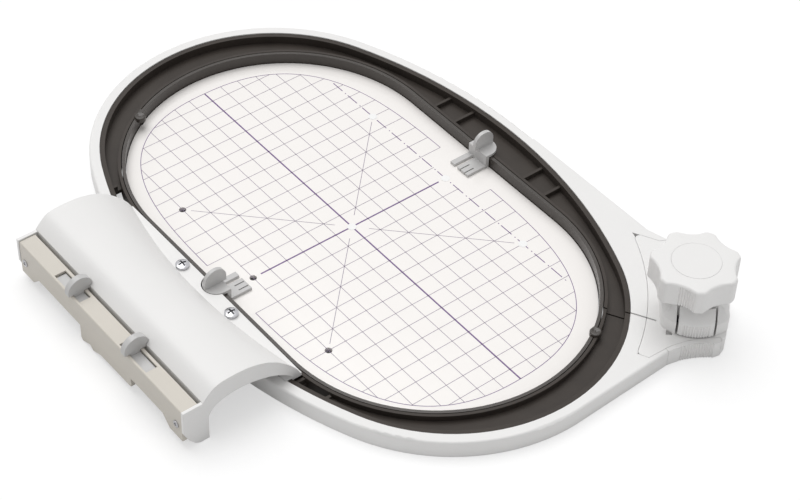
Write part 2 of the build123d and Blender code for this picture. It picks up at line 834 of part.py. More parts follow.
# Cap plate let into the knob's top
with BuildPart() as knob_cap:
    with BuildSketch(Plane(origin=(knob_x, knob_y, knob_top - knob_cap_depth))):
        Circle(knob_cap_radius - knob_cap_seam)
    extrude(amount=knob_cap_depth)
knob_cap.part.label = "knob_cap"
export_step(knob_cap.part, "parts/knob_cap.step")


def arm_curve(foot_y, sink):
    """Points of the arch's outer face from foot to front, moved inwards by sink."""
    rise = arm_crest_z - arm_flange_top
    span = arm_crest_y - foot_y
    fall_y = arm_front - arm_crest_y
    fall_z = arm_crest_z - arm_front_top
    points = [(-foot_y, arm_flange_top)]
    points += [(-foot_y - span * a, arm_flange_top + rise * b) for a, b in arm_rise_shares]
    points += [(-arm_crest_y, arm_crest_z)]
    points += [(-arm_crest_y - fall_y * a, arm_front_top + fall_z * b) for a, b in arm_fall_shares]
    points += [(-arm_front, arm_front_top)]
    if not sink:
        return points
    moved = []
    for i, point in enumerate(points):
        before = points[max(i - 1, 0)]
        after = points[min(i + 1, len(points) - 1)]
        dy = after[0] - before[0]
        dz = after[1] - before[1]
        size = math.hypot(dy, dz)
        moved.append((point[0] + dz / size * -sink, point[1] + dy / size * sink))
    return moved


def arm_under(foot_y):
    """Points of the end cheek's lower edge from front to foot."""
    back = foot_y + arm_under_foot
    front = arm_front - arm_leg
    rise = arm_under_crest - arm_under_front
    points = [(-front, arm_under_front)]
    points += [(-front + (front - arm_under_crest_y) * (1 - a), arm_under_front + rise * b)
               for a, b in reversed(arm_under_fall_shares)]
    points += [(-arm_under_crest_y, arm_under_crest)]
    foot_rise = arm_under_crest - arm_flange_top
    points += [(-back - (arm_under_crest_y - back) * a, arm_flange_top + foot_rise * b)
               for a, b in reversed(arm_under_shares)]
    points += [(-back, arm_flange_top)]
    return points


def side_plane(x):
    """Upright plane across the long axis: local x is Y, local y is Z."""
    return Plane(origin=(x, 0, 0), x_dir=(0, 1, 0), z_dir=(1, 0, 0))


arm_stations = ((-1, arm_foot_end), (0, arm_foot_mid), (1, arm_foot_end))

# Arched coupling housing: thin shell, thick end cheeks, flange on the channel
with BuildPart() as arm_housing:
    for share, foot in arm_stations:
        with BuildSketch(side_plane(share * arm_half_length)):
            with BuildLine():
                skin_points = arm_curve(foot, 0)
                under_points = arm_under(foot)
                Spline(*skin_points)
                Polyline(skin_points[-1], (-arm_front, 0), (-arm_front + arm_leg, 0), under_points[0])
                Spline(*under_points)
                Line(under_points[-1], skin_points[0])
            make_face()
    loft()
    for share, foot in arm_stations:
        with BuildSketch(side_plane(share * (arm_half_length - arm_cheek))):
            with BuildLine():
                core_points = arm_curve(foot, arm_wall)
                core_points[0] = (core_points[0][0], arm_flange_top)
                core_points[-1] = (-arm_front + arm_leg, core_points[-1][1])
                Spline(*core_points)
                Polyline(
                    core_points[-1], (-arm_front + arm_leg, -overrun),
                    (core_points[0][0], -overrun), core_points[0],
                )
            make_face()
    loft(mode=Mode.SUBTRACT)
    with BuildSketch(Plane.XY.offset(arm_seat)):
        strip(-arm_half_length, arm_half_length, -arm_edge, -arm_flange_back)
        with Locations((clip_centre_x, ring_y - clip_ledge_centre)):
            Circle(clip_half_width + ledge_recess_slack, mode=Mode.SUBTRACT)
    extrude(amount=arm_flange_top - arm_seat)
    with BuildSketch(side_plane(-arm_half_length)) as cap_plan:
        with BuildLine():
            Polyline(
                (-arm_front + arm_leg, cap_top), (-cap_front, cap_top), (-cap_front, cap_chin),
                (-cap_knee, cap_knee_z), (-cap_shin, cap_shin_z), (-cap_toe, 0),
                (-arm_front + arm_leg, 0), (-arm_front + arm_leg, cap_top),
            )
        make_face()
        fillet(cap_plan.vertices().sort_by_distance((-arm_half_length, -cap_front, cap_top))[0], cap_round)
    extrude(amount=cap_thickness)
    with BuildSketch(side_plane(arm_half_length - cap_thickness)):
        add(cap_plan.sketch_local)
    extrude(amount=cap_thickness)
    with BuildSketch(Plane.XY.offset(arm_seat)):
        with Locations(*[(sx * screw_x, -screw_y) for sx in (-1, 1)]):
            Circle(screw_shank_radius + screw_slack)
    extrude(amount=arm_flange_top, mode=Mode.SUBTRACT)
arm_housing.part.label = "arm_housing"
export_step(arm_housing.part, "parts/arm_housing.step")


def cross_cut(place, depth):
    """Cross recess cut down from a plane."""
    with BuildSketch(place) as cross:
        Rectangle(screw_cross_length, screw_cross_width)
        Rectangle(screw_cross_width, screw_cross_length)
    extrude(cross.sketch, amount=-depth, mode=Mode.SUBTRACT)


# Two screws that hold the housing's flange down
with BuildPart() as housing_screws:
    with BuildSketch(Plane.XY.offset(arm_flange_top)):
        with Locations(*[(sx * screw_x, -screw_y) for sx in (-1, 1)]):
            Circle(screw_head_radius)
    extrude(amount=screw_head_height)
    fillet(housing_screws.edges().group_by(Axis.Z)[-1], screw_head_height / 2)
    with BuildSketch(Plane.XY.offset(arm_flange_top)):
        with Locations(*[(sx * screw_x, -screw_y) for sx in (-1, 1)]):
            Circle(screw_shank_radius)
    extrude(amount=screw_tip - arm_flange_top)
    for sx in (-1, 1):
        cross_cut(Plane(origin=(sx * screw_x, -screw_y, arm_flange_top + screw_head_height)), screw_cross_depth)
housing_screws.part.label = "housing_screws"
export_step(housing_screws.part, "parts/housing_screws.step")

# Coupling bar: open below, with two lever slots in its top
bar_ground = Plane.XY.offset(bar_horn_bottom)
with BuildPart() as coupling_bar:
    with BuildSketch(Plane.XZ.offset(bar_back)):
        with BuildLine():
            half_outline = [
                (0, bar_top), (bar_half_length, bar_top), (bar_half_length, bar_horn_bottom),
                (bar_horn_outer, bar_horn_bottom), (bar_horn_inner, bar_bottom), (0, bar_bottom),
            ]
            mirrored = [(-x, z) for x, z in reversed(half_outline[1:-1])]
            Polyline(*half_outline, *mirrored, close=True)
        make_face()
    extrude(amount=bar_front - bar_back)
    fillet(
        coupling_bar.edges().filter_by(Axis.X).group_by(Axis.Z)[-1].sort_by(Axis.Y)[0], bar_edge_round
    )
    with BuildSketch(bar_ground):
        strip(-bar_half_length + bar_block, -bar_rib_half, -bar_back - bar_wall, -bar_front + bar_wall)
        strip(bar_half_length - bar_block, bar_rib_half, -bar_back - bar_wall, -bar_front + bar_wall)
    extrude(amount=bar_top - bar_skin - bar_horn_bottom, mode=Mode.SUBTRACT)
    with BuildSketch(Plane.XY.offset(bar_top - bar_skin)):
        strip(-slot_outer, -slot_inner, -slot_front, -slot_back)
        strip(slot_outer, slot_inner, -slot_front, -slot_back)
    extrude(amount=bar_skin, mode=Mode.SUBTRACT)
    with BuildSketch(Plane.XZ.offset(bar_front - bar_screw_length)):
        with Locations(*[(sx * bar_screw_x, bar_screw_z) for sx in (-1, 1)]):
            Circle(bar_screw_shank)
    extrude(amount=bar_screw_length, mode=Mode.SUBTRACT)
coupling_bar.part.label = "coupling_bar"
export_step(coupling_bar.part, "parts/coupling_bar.step")

# Two screws in the front of the bar, from inside the end caps
with BuildPart() as bar_screws:
    with BuildSketch(Plane.XZ.offset(bar_front)):
        with Locations(*[(sx * bar_screw_x, bar_screw_z) for sx in (-1, 1)]):
            Circle(bar_screw_radius)
    extrude(amount=bar_screw_head)
    with BuildSketch(Plane.XZ.offset(bar_front)):
        with Locations(*[(sx * bar_screw_x, bar_screw_z) for sx in (-1, 1)]):
            Circle(bar_screw_shank)
    extrude(amount=-bar_screw_length)
bar_screws.part.label = "bar_screws"
export_step(bar_screws.part, "parts/bar_screws.step")

# Toothed coupling plate that hangs from the middle of the bar's front wall
with BuildPart() as coupling_plate:
    with BuildSketch(Plane.XZ.offset(bar_front - plate_thickness)):
        with BuildLine():
            tooth_low = plate_bottom
            tooth_high = plate_bottom + plate_tooth_depth
            plate_points = [(-plate_left, bar_bottom), (-plate_left, tooth_low + plate_tooth_round)]
            for i in range(plate_teeth):
                x = -plate_left + plate_tooth_round + i * plate_tooth_pitch
                plate_points.append((x, tooth_low + i * plate_step))
                plate_points.append((x + plate_tooth_rise, tooth_high + i * plate_step))
            plate_points.append((plate_right - plate_step, tooth_high + plate_teeth * plate_step))
            plate_points.append((plate_right, tooth_high + plate_teeth * plate_step + plate_tooth_round))
            plate_points.append((plate_right, bar_bottom))
            Polyline(*plate_points, close=True)
        make_face()
    extrude(amount=plate_thickness)
coupling_plate.part.label = "coupling_plate"
export_step(coupling_plate.part, "parts/coupling_plate.step")


def build_lever(side):
    """Catch lever: a plate under the bar's skin, a disc fin above it, and a hooked leg."""
    middle_y = (slot_front + slot_back) / 2
    half_depth = (slot_front - slot_back) / 2 - lever_slack
    plate_floor = lever_plate_top - lever_plate_thickness
    inner = slot_inner - lever_reach_in
    outer = slot_outer - lever_reach_out
    with BuildSketch(Plane.XY.offset(plate_floor)) as plate:
        strip(side * inner, side * outer, -middle_y - half_depth, -middle_y + half_depth)
    extrude(plate.sketch, amount=lever_plate_thickness)
    fin_start = side * fin_inner
    fin_end = side * (fin_inner + fin_thickness)
    with BuildSketch(side_plane(min(fin_start, fin_end))) as fin:
        with Locations((-fin_centre_y, fin_centre_z)):
            Circle(fin_radius)
        strip(
            -fin_centre_y - fin_radius, -fin_centre_y + fin_radius,
            fin_centre_z - fin_radius, bar_top + lever_slack, mode=Mode.SUBTRACT,
        )
        strip(
            -middle_y - half_depth, -middle_y + half_depth, lever_plate_top, bar_top + lever_slack
        )
        with BuildLine() as shell_clear:
            Polyline(
                (-arm_front - lever_slack, arm_front_top - fin_radius),
                (-arm_front - lever_slack, arm_front_top + 2 * lever_slack),
                (-arm_front + fin_relief, arm_front_top + 2 * lever_slack + fin_relief),
                (-arm_front + fin_relief, arm_front_top - fin_radius), close=True,
            )
        make_face(shell_clear.edges(), mode=Mode.SUBTRACT)
    extrude(fin.sketch, amount=fin_thickness)
    with BuildSketch(Plane.XY.offset(hook_bottom)) as leg:
        strip(
            side * (fin_inner - lever_slack), side * (fin_inner - lever_slack + hook_thickness),
            -middle_y - hook_half_width, -middle_y + hook_half_width,
        )
    extrude(leg.sketch, amount=plate_floor - hook_bottom)
    with BuildSketch(Plane.XY.offset(hook_bottom)) as tooth:
        strip(
            side * (fin_inner - lever_slack), side * (fin_inner - lever_slack + hook_thickness + hook_tooth),
            -middle_y - hook_half_width, -middle_y + hook_half_width,
        )
    extrude(tooth.sketch, amount=hook_tooth_height)
    with BuildSketch(Plane.XY.offset(plate_floor - lever_pad_height)) as pad:
        strip(
            side * inner, side * (inner + lever_pad_thickness),
            -middle_y - hook_half_width, -middle_y + hook_half_width,
        )
    extrude(pad.sketch, amount=lever_pad_height)


# Left catch lever
with BuildPart() as release_lever_left:
    build_lever(-1)
release_lever_left.part.label = "release_lever_left"
export_step(release_lever_left.part, "parts/release_lever_left.step")

# Right catch lever
with BuildPart() as release_lever_right:
    build_lever(1)
release_lever_right.part.label = "release_lever_right"
export_step(release_lever_right.part, "parts/release_lever_right.step")

lever_spring_from = bar_rib_half + lever_spring_gap + lever_spring_wall / 2
lever_spring_span = slot_inner - lever_reach_in - bar_rib_half - 2 * lever_spring_gap - lever_spring_wall
lever_spring_y = -(slot_front + slot_back) / 2

# Spring behind the left lever
with BuildPart() as lever_spring_left:
    coil(
        (-lever_spring_from, lever_spring_y, lever_spring_z), (-1, 0, 0), lever_spring_span,
        lever_spring_turns, lever_spring_radius, lever_spring_wall,
    )
lever_spring_left.part.label = "lever_spring_left"
export_step(lever_spring_left.part, "parts/lever_spring_left.step")

# Spring behind the right lever
with BuildPart() as lever_spring_right:
    coil(
        (lever_spring_from, lever_spring_y, lever_spring_z), (1, 0, 0), lever_spring_span,
        lever_spring_turns, lever_spring_radius, lever_spring_wall,
    )
lever_spring_right.part.label = "lever_spring_right"
export_step(lever_spring_right.part, "parts/lever_spring_right.step")
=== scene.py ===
import bpy
import numpy as np
from mathutils import Matrix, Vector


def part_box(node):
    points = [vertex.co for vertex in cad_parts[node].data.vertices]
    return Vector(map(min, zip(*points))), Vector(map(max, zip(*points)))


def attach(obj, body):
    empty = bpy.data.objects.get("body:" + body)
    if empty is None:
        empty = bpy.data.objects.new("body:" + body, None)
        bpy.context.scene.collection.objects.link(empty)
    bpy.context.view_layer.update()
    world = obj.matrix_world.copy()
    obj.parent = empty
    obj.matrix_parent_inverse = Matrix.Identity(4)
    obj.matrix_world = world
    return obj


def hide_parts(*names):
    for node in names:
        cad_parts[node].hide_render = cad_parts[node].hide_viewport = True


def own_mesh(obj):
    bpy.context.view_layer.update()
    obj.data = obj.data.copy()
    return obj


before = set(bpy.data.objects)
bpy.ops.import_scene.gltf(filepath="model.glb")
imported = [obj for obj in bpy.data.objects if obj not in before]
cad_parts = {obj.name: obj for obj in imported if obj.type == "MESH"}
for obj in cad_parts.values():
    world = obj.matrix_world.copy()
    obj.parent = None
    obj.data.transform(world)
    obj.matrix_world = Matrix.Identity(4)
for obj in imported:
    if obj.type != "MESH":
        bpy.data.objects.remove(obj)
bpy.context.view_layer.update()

# Outer rim: a white moulded skin with a skirt all round. It carries the clamp corner and the
# machine coupling. Its finish is that of every white moulding of the hoop: satin with a fine
# spark grain, and a faint drift of tone where the melt flowed.
MM = 0.001
WHITE = (0.845, 0.838, 0.828)
WHITE_SHADE = (0.82, 0.813, 0.805)
PATCH_SCALE = 38.0
PATCH_DETAIL = 3.0
GRAIN_SCALE = 1500.0
GRAIN_DETAIL = 2.0
GRAIN_STRENGTH = 0.03
GRAIN_HEIGHT = 0.2 * MM
GLOSS_SWING = 0.06
EDGE_SOFTNESS = 0.25 * MM
EDGE_SAMPLES = 6


def moulded(name, colour, shade, rough, grain=GRAIN_SCALE, bump=GRAIN_STRENGTH,
            patch=PATCH_SCALE, metal=0.0, specular=0.5):
    """A moulded or cast finish: its colour drifts between two tones in broad soft patches,
    a fine grain lifts the surface and varies its gloss by a small swing to either side, and
    sharp edges catch the light as if broken by a small radius."""
    material = bpy.data.materials.new(name)
    material.use_nodes = True
    nodes = material.node_tree.nodes
    links = material.node_tree.links
    shader = nodes["Principled BSDF"]
    place = nodes.new("ShaderNodeTexCoord")
    drift = nodes.new("ShaderNodeTexNoise")
    drift.inputs["Scale"].default_value = patch
    drift.inputs["Detail"].default_value = PATCH_DETAIL
    links.new(place.outputs["Object"], drift.inputs["Vector"])
    tint = nodes.new("ShaderNodeMix")
    tint.data_type = "RGBA"
    tint.inputs[6].default_value = (*colour, 1)
    tint.inputs[7].default_value = (*shade, 1)
    links.new(drift.outputs["Fac"], tint.inputs["Factor"])
    links.new(tint.outputs[2], shader.inputs["Base Color"])
    fine = nodes.new("ShaderNodeTexNoise")
    fine.inputs["Scale"].default_value = grain
    fine.inputs["Detail"].default_value = GRAIN_DETAIL
    links.new(place.outputs["Object"], fine.inputs["Vector"])
    gloss = nodes.new("ShaderNodeMapRange")
    gloss.inputs["To Min"].default_value = rough - GLOSS_SWING
    gloss.inputs["To Max"].default_value = rough + GLOSS_SWING
    links.new(fine.outputs["Fac"], gloss.inputs["Value"])
    links.new(gloss.outputs["Result"], shader.inputs["Roughness"])
    lift = nodes.new("ShaderNodeBump")
    lift.inputs["Strength"].default_value = bump
    lift.inputs["Distance"].default_value = GRAIN_HEIGHT
    links.new(fine.outputs["Fac"], lift.inputs["Height"])
    edge = nodes.new("ShaderNodeBevel")
    edge.samples = EDGE_SAMPLES
    edge.inputs["Radius"].default_value = EDGE_SOFTNESS
    links.new(edge.outputs["Normal"], lift.inputs["Normal"])
    links.new(lift.outputs["Normal"], shader.inputs["Normal"])
    shader.inputs["Metallic"].default_value = metal
    shader.inputs["Specular IOR Level"].default_value = specular
    return material


def dress(material, *names):
    """Each named solid of the frame drops the slots it came with and takes one finish."""
    for name in names:
        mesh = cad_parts[name].data
        mesh.materials.clear()
        mesh.materials.append(material)


white = moulded("white_moulding", WHITE, WHITE_SHADE, rough=0.46)
dress(white, "outer_rim")

# Channel frame: the dark glass-filled moulding inside the rim, ribbed into cells below.
# Its skin is mottled where the filler comes near the surface.
DARK = (0.056, 0.046, 0.039)
DARK_SHADE = (0.034, 0.028, 0.024)
dark = moulded("dark_filled_moulding", DARK, DARK_SHADE, rough=0.5,
               grain=1900.0, bump=0.08, patch=75.0, specular=0.22)
dress(dark, "channel_frame")

# Inner ring: a plain dark wall that presses the fabric into the frame, smoother than the
# frame because its sides are polished. Two pegs stand on its ledge to lift it by.
polished_dark = moulded("polished_dark_moulding", DARK, DARK_SHADE, rough=0.24,
                        grain=700.0, bump=0.02)
dress(polished_dark, "inner_ring")

# Template: a clear sheet that drops into the inner ring, cut out round the ring's pegs and
# punched with small marking holes. Over a white ground it shows as pale as the ground, so
# its finish is a near white with the smooth gloss of cast sheet.
SHEET = (0.965, 0.935, 0.91)
SHEET_SHADE = (0.95, 0.92, 0.895)
sheet = moulded("clear_sheet", SHEET, SHEET_SHADE, rough=0.14, grain=60.0, bump=0.004)
dress(sheet, "template")

# Printed grid: thin lines a centimetre apart and two diagonals, screen printed on top of the
# sheet as a layer of ink. The lines end at the edge of the stitching field, a rounded oblong
# with a notch at each catch.
GRID_INK = (0.27, 0.22, 0.31)
GRID_INK_SHADE = (0.22, 0.17, 0.26)
INK_LIFT = 0.04 * MM
FIELD_HALF_LENGTH = 127.5 * MM
FIELD_HALF_WIDTH = 73.0 * MM
FIELD_LENGTH_POWER = 3.6
FIELD_WIDTH_POWER = 2.4
NOTCH_HALF = 20 * MM
NOTCH_HEIGHT = 60.5 * MM
GRID_STEP = 10 * MM
GRID_COLUMNS = 12
GRID_ROWS = 6
GRID_LINE = 0.27 * MM
DIAGONAL_START = 6 * MM
DIAGONAL_END = 57 * MM
ink_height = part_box("template")[1][2] + INK_LIFT


def new_piece(name, points, faces, material, body, slot):
    """A mesh from an array of points and a list of faces that rides on a body of the frame."""
    mesh = bpy.data.meshes.new(name)
    mesh.from_pydata(points.tolist(), [], faces)
    mesh.materials.append(material)
    piece = bpy.data.objects.new(name, mesh)
    bpy.context.scene.collection.objects.link(piece)
    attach(piece, body)
    return piece


def ink_strips(starts, ends, width):
    """A flat strip for each line: its two ends moved half a width to either side."""
    starts = np.asarray(starts, float)
    ends = np.asarray(ends, float)
    along = ends - starts
    along /= np.linalg.norm(along, axis=1, keepdims=True)
    side = np.column_stack((-along[:, 1], along[:, 0])) * width / 2
    corners = np.stack((starts - side, ends - side, ends + side, starts + side), axis=1)
    corners = corners.reshape(-1, 2)
    points = np.column_stack((corners, np.full(len(corners), ink_height)))
    return points, np.arange(len(points)).reshape(-1, 4)


def joined(parts):
    """Several point and face arrays as one mesh: each face's numbers go up by the points
    that stand before its own."""
    before = np.cumsum([0] + [len(points) for points, faces in parts[:-1]])
    points = np.concatenate([points for points, faces in parts])
    faces = np.concatenate([part[1] + shift for part, shift in zip(parts, before)])
    return points, faces.tolist()


def half_width(x):
    """Half the field's width at x: the shares of the half length and the half width, each to
    its own power, add up to one, and a notch cuts each long side off at a level height."""
    share = 1 - np.abs(x / FIELD_HALF_LENGTH) ** FIELD_LENGTH_POWER
    full = FIELD_HALF_WIDTH * share ** (1 / FIELD_WIDTH_POWER)
    return np.where(np.abs(x) < NOTCH_HALF, NOTCH_HEIGHT, full)


def half_length(y):
    """Half the field's length at y: the same sum of two powers, solved the other way."""
    share = 1 - np.abs(y / FIELD_HALF_WIDTH) ** FIELD_WIDTH_POWER
    return FIELD_HALF_LENGTH * share ** (1 / FIELD_LENGTH_POWER)


grid_x = np.arange(-GRID_COLUMNS, GRID_COLUMNS + 1) * GRID_STEP
grid_x = grid_x[grid_x != 0]
# the far row is dashed and comes with the outline, and so do the centre lines
grid_y = np.arange(-GRID_ROWS, GRID_ROWS) * GRID_STEP
grid_y = grid_y[grid_y != 0]
tall = half_width(grid_x)
long = half_length(grid_y)
quarters = np.array([(sx, sy) for sx in (-1, 1) for sy in (-1, 1)], float)
grid_ink = moulded("grid_ink", GRID_INK, GRID_INK_SHADE, rough=0.45)
grid = joined([
    ink_strips(np.column_stack((grid_x, -tall)), np.column_stack((grid_x, tall)), GRID_LINE),
    ink_strips(np.column_stack((-long, grid_y)), np.column_stack((long, grid_y)), GRID_LINE),
    ink_strips(quarters * DIAGONAL_START, quarters * DIAGONAL_END, GRID_LINE),
])
new_piece("printed_grid", *grid, grid_ink, "template_body", "template_sheet")

# Printed outline: the edge of the stitching field, the two bold centre lines, and a row of
# dashes and dots near the far catch. It is printed over the grid in a darker ink.
BOLD_INK = (0.17, 0.09, 0.25)
BOLD_INK_SHADE = (0.13, 0.06, 0.20)
OUTLINE_LINE = 0.34 * MM
OUTLINE_STEPS = 121
CENTRE_LINE = 0.8 * MM
CENTRE_REACH = 55.5 * MM
DASH_LINE = 0.5 * MM
DASH_FROM = -94 * MM
DASH_TO = 90 * MM
DASH_PITCH = 12.5 * MM
DASH_RUN = 8 * MM
DASH_HEIGHT = 60 * MM
DOT_RUN = 0.7 * MM


def ink_ribbon(path, width):
    """A strip along an open curve: each point moved half a width along the curve's normal."""
    slope = np.gradient(path, axis=0)
    slope /= np.linalg.norm(slope, axis=1, keepdims=True)
    side = np.column_stack((-slope[:, 1], slope[:, 0])) * width / 2
    points = np.concatenate((path - side, path + side))
    points = np.column_stack((points, np.full(len(points), ink_height)))
    n = len(path)
    i = np.arange(n - 1)
    return points, np.column_stack((i, i + 1, i + 1 + n, i + n))


def ink_row(starts, run, height, width):
    """Strips of one length, side by side on a level line."""
    level = np.full(len(starts), height)
    return ink_strips(np.column_stack((starts, level)), np.column_stack((starts + run, level)),
                      width)


outline_angle = np.linspace(0, np.pi / 2, OUTLINE_STEPS)
# one quarter of the outline by angle, up to the notch; the others are its mirror images
outline = np.column_stack((
    FIELD_HALF_LENGTH * np.cos(outline_angle) ** (2 / FIELD_LENGTH_POWER),
    FIELD_HALF_WIDTH * np.sin(outline_angle) ** (2 / FIELD_WIDTH_POWER),
))
outline = outline[outline[:, 0] > NOTCH_HALF]
outline = np.vstack((outline, (NOTCH_HALF, half_width(NOTCH_HALF))))
centre_starts = [(-FIELD_HALF_LENGTH, 0), (0, -CENTRE_REACH)]
centre_ends = [(FIELD_HALF_LENGTH, 0), (0, CENTRE_REACH)]
dash_at = np.arange(DASH_FROM, DASH_TO, DASH_PITCH)
dot_at = dash_at + (DASH_RUN + DASH_PITCH) / 2
bold_ink = moulded("bold_ink", BOLD_INK, BOLD_INK_SHADE, rough=0.42)
bold = joined([ink_ribbon(outline * quarter, OUTLINE_LINE) for quarter in quarters] + [
    ink_strips(centre_starts, centre_ends, CENTRE_LINE),
    ink_row(dash_at, DASH_RUN, DASH_HEIGHT, DASH_LINE),
    ink_row(dot_at, DOT_RUN, DASH_HEIGHT, DASH_LINE),
])
new_piece("printed_outline", *bold, bold_ink, "template_body", "template_sheet")

# Near marking holes: three punched holes for a pencil, open down to the shade under the
# sheet. In each lies a dark disc, level with the sheet's underside: painted shade for the
# gap under the sheet.
HOLE_SHADE = (0.035, 0.03, 0.035)
HOLE_SHADE_DEEP = (0.02, 0.02, 0.02)
HOLE_RADIUS = 1.75 * MM
HOLE_PITCH = 60 * MM
HOLE_SIDES = 40


def discs(places, radius, height):
    """A disc at each marking hole: a circle of points about its place, at one height."""
    angle = np.linspace(0, 2 * np.pi, HOLE_SIDES, endpoint=False)
    rim = np.column_stack((np.cos(angle), np.sin(angle))) * radius
    flat = (np.asarray(places, float)[:, None, :] + rim).reshape(-1, 2)
    points = np.column_stack((flat, np.full(len(flat), height)))
    return points, np.arange(len(points)).reshape(-1, HOLE_SIDES).tolist()


hole_columns = (-HOLE_PITCH, 0, HOLE_PITCH)
near_painted_shade = discs([(x, -HOLE_PITCH) for x in hole_columns], HOLE_RADIUS,
                  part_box("template")[0][2] + INK_LIFT)
# painted shade: dark discs in the near holes stand for the shade under the sheet
hole_shade = moulded("hole_shade", HOLE_SHADE, HOLE_SHADE_DEEP, rough=0.6)
new_piece("near_hole_painted_shade", *near_painted_shade, hole_shade, "template_body", "template_sheet")

# Far marking holes and the middle one: each is covered on top of the sheet by a white disc a
# little wider than the hole: painted light for the lit ground seen through, so they show white.
PAINTED_LIGHT_WHITE = (0.93, 0.93, 0.925)
PAINTED_LIGHT_TONE = (0.91, 0.91, 0.905)
PAINTED_LIGHT_RADIUS = 2.3 * MM
far_painted_light = discs([(x, HOLE_PITCH) for x in hole_columns] + [(0, 0)], PAINTED_LIGHT_RADIUS,
                    ink_height + INK_LIFT)
# painted light: white discs over the far holes stand for the lit ground seen through them
painted_ground_light = moulded("painted_ground_light", PAINTED_LIGHT_WHITE, PAINTED_LIGHT_TONE, rough=0.5)
new_piece("far_hole_painted_light", *far_painted_light, painted_ground_light, "template_body", "template_sheet")

# Template catches: one at the middle of each long side, a grey moulded spring clip with a
# finger tab. It is snapped onto the template and hooks over the ring.
CATCH = (0.575, 0.57, 0.565)
CATCH_SHADE = (0.53, 0.525, 0.52)
grey = moulded("grey_catch_moulding", CATCH, CATCH_SHADE, rough=0.30)
dress(grey, "template_clip_near", "template_clip_far")

# Clamp corner: the white base that runs out of the rim, and the fluted grip for a thumb on
# its outer corner. Both are moulded of the rim's material and fixed to it.
dress(white, "clamp_base", "grip_pad")

# Clamp housing with its press tab: white mouldings that carry the spindle. The tab's latch
# runs in the spindle's groove, and its front is a fluted finger pad with a rounded shoulder,
# measured in mm outwards from the knob's axis.
CLAMP_OUT = np.array((0.75471, -0.656059))
CLAMP_SIDE = np.array((0.656059, 0.75471))
KNOB_AXIS = (148.0, 86.0)
PAD_MIDDLE = 2.6
PAD_HALF = 8.4
PAD_COLUMNS = 260
PAD_FRONT = 17.22
PAD_BOW = 20.6
PAD_INNER = 12.2
PAD_FOOT = 10.0
PAD_BREAK = 0.4
PAD_SHOULDER = 17.2
PAD_RUN = 5.2
PAD_ROUND = 1.6
PAD_ROUND_ROWS = 10
PAD_TOP = 23.6
PAD_TOP_INNER = 10.6
PAD_TOP_LAND = 0.3
PAD_LIP = 1.4
PAD_LIP_RUN = 3.6
GROOVE_COUNT = 10
GROOVE_PITCH = 1.3
GROOVE_DEPTH = 0.48
GROOVE_SPREAD = 0.31
MOULD_CREASE = 38
dress(white, "clamp_housing", "release_tab")


def new_solid(name, points, faces, material, body, slot, crease):
    """A closed mesh with smooth faces, and sharp edges where they meet at more than the
    crease angle, that rides on a body of the frame."""
    piece = new_piece(name, points, faces, material, body, slot)
    piece.data.shade_smooth()
    piece.data.set_sharp_from_angle(angle=np.radians(crease))
    return piece


def bells(offsets, depth, spread):
    """Depth of a row of bell-shaped grooves at each place: for every groove the depth times
    e to the minus square of the offset over the spread, summed."""
    return (depth * np.exp(-((offsets / spread) ** 2))).sum(axis=1)


def full_rows(rows, count):
    """Rows of two measures, each a number or a value for every place, as two full grids."""
    return [np.array([np.broadcast_to(row[k], count) for row in rows]) for k in (0, 1)]


def round_faces(rows, columns):
    """Faces of a grid of points that closes on itself round its columns: a quad joins each
    point, the one in the next row, and the neighbours of both. The first and the last row
    are closed by one many-sided lid each."""
    i, j = np.meshgrid(np.arange(rows - 1), np.arange(columns), indexing="ij")
    after = (j + 1) % columns
    corners = (i * columns + j, (i + 1) * columns + j, (i + 1) * columns + after)
    quads = np.stack((*corners, i * columns + after), axis=2).reshape(-1, 4)
    lid = np.arange(columns)
    return quads, np.array((lid, lid[::-1] + (rows - 1) * columns))


def carried(rows, side):
    """A closed outline of reach and height carried across the clamp: at each place, reach
    times the outward direction plus the place times the sideways one, from the knob's axis."""
    reach, height = full_rows(rows, len(side))
    across = (side + PAD_MIDDLE)[:, None, None] * CLAMP_SIDE
    level = reach.T[..., None] * CLAMP_OUT + across + KNOB_AXIS
    points = np.concatenate((level, height.T[..., None]), axis=2).reshape(-1, 3) * MM
    quads, lids = round_faces(len(side), len(rows))
    return points, quads.tolist() + lids.tolist()


pad_side = np.linspace(-PAD_HALF, PAD_HALF, PAD_COLUMNS)
pad_front = PAD_FRONT - PAD_BOW + np.sqrt(PAD_BOW**2 - pad_side**2)
groove_at = (np.arange(GROOVE_COUNT) - (GROOVE_COUNT - 1) / 2) * GROOVE_PITCH
pad_face = pad_front - bells(pad_side[:, None] - groove_at, GROOVE_DEPTH, GROOVE_SPREAD)
pad_rows = [
    (PAD_INNER, PAD_FOOT),
    (pad_face - PAD_BREAK, PAD_FOOT),
    (pad_face, PAD_FOOT + PAD_BREAK),
    (pad_face, PAD_SHOULDER - PAD_BREAK),
    *[(np.maximum(pad_front - PAD_RUN * t**PAD_ROUND, PAD_TOP_INNER + PAD_TOP_LAND),
       PAD_SHOULDER + (PAD_TOP - PAD_SHOULDER) * t) for t in np.linspace(0, 1, PAD_ROUND_ROWS)],
    (PAD_TOP_INNER, PAD_TOP),
    (PAD_TOP_INNER, PAD_TOP - PAD_LIP),
    (PAD_INNER, PAD_TOP - PAD_LIP_RUN),
]
new_solid("tab_finger_pad", *carried(pad_rows, pad_side), white, "tab", "white_shell",
          MOULD_CREASE)

# Peg heads: each lifting peg of the inner ring ends in a round polished button with a shallow
# dish for a fingertip. It is moulded in one with the peg. In mm.
PEGS = {"left": (-125.2, -41.5), "right": (130.6, 43.2)}
BUTTON_RADIUS = 2.9
BUTTON_FOOT = 6.4
BUTTON_TOP = 9.0
BUTTON_DISH = 0.5
BUTTON_DISH_ROWS = 8
BUTTON_ROUND = 0.7
BUTTON_ROUND_ROWS = 6
BUTTON_COLUMNS = 64
CORE_SHARE = 0.02


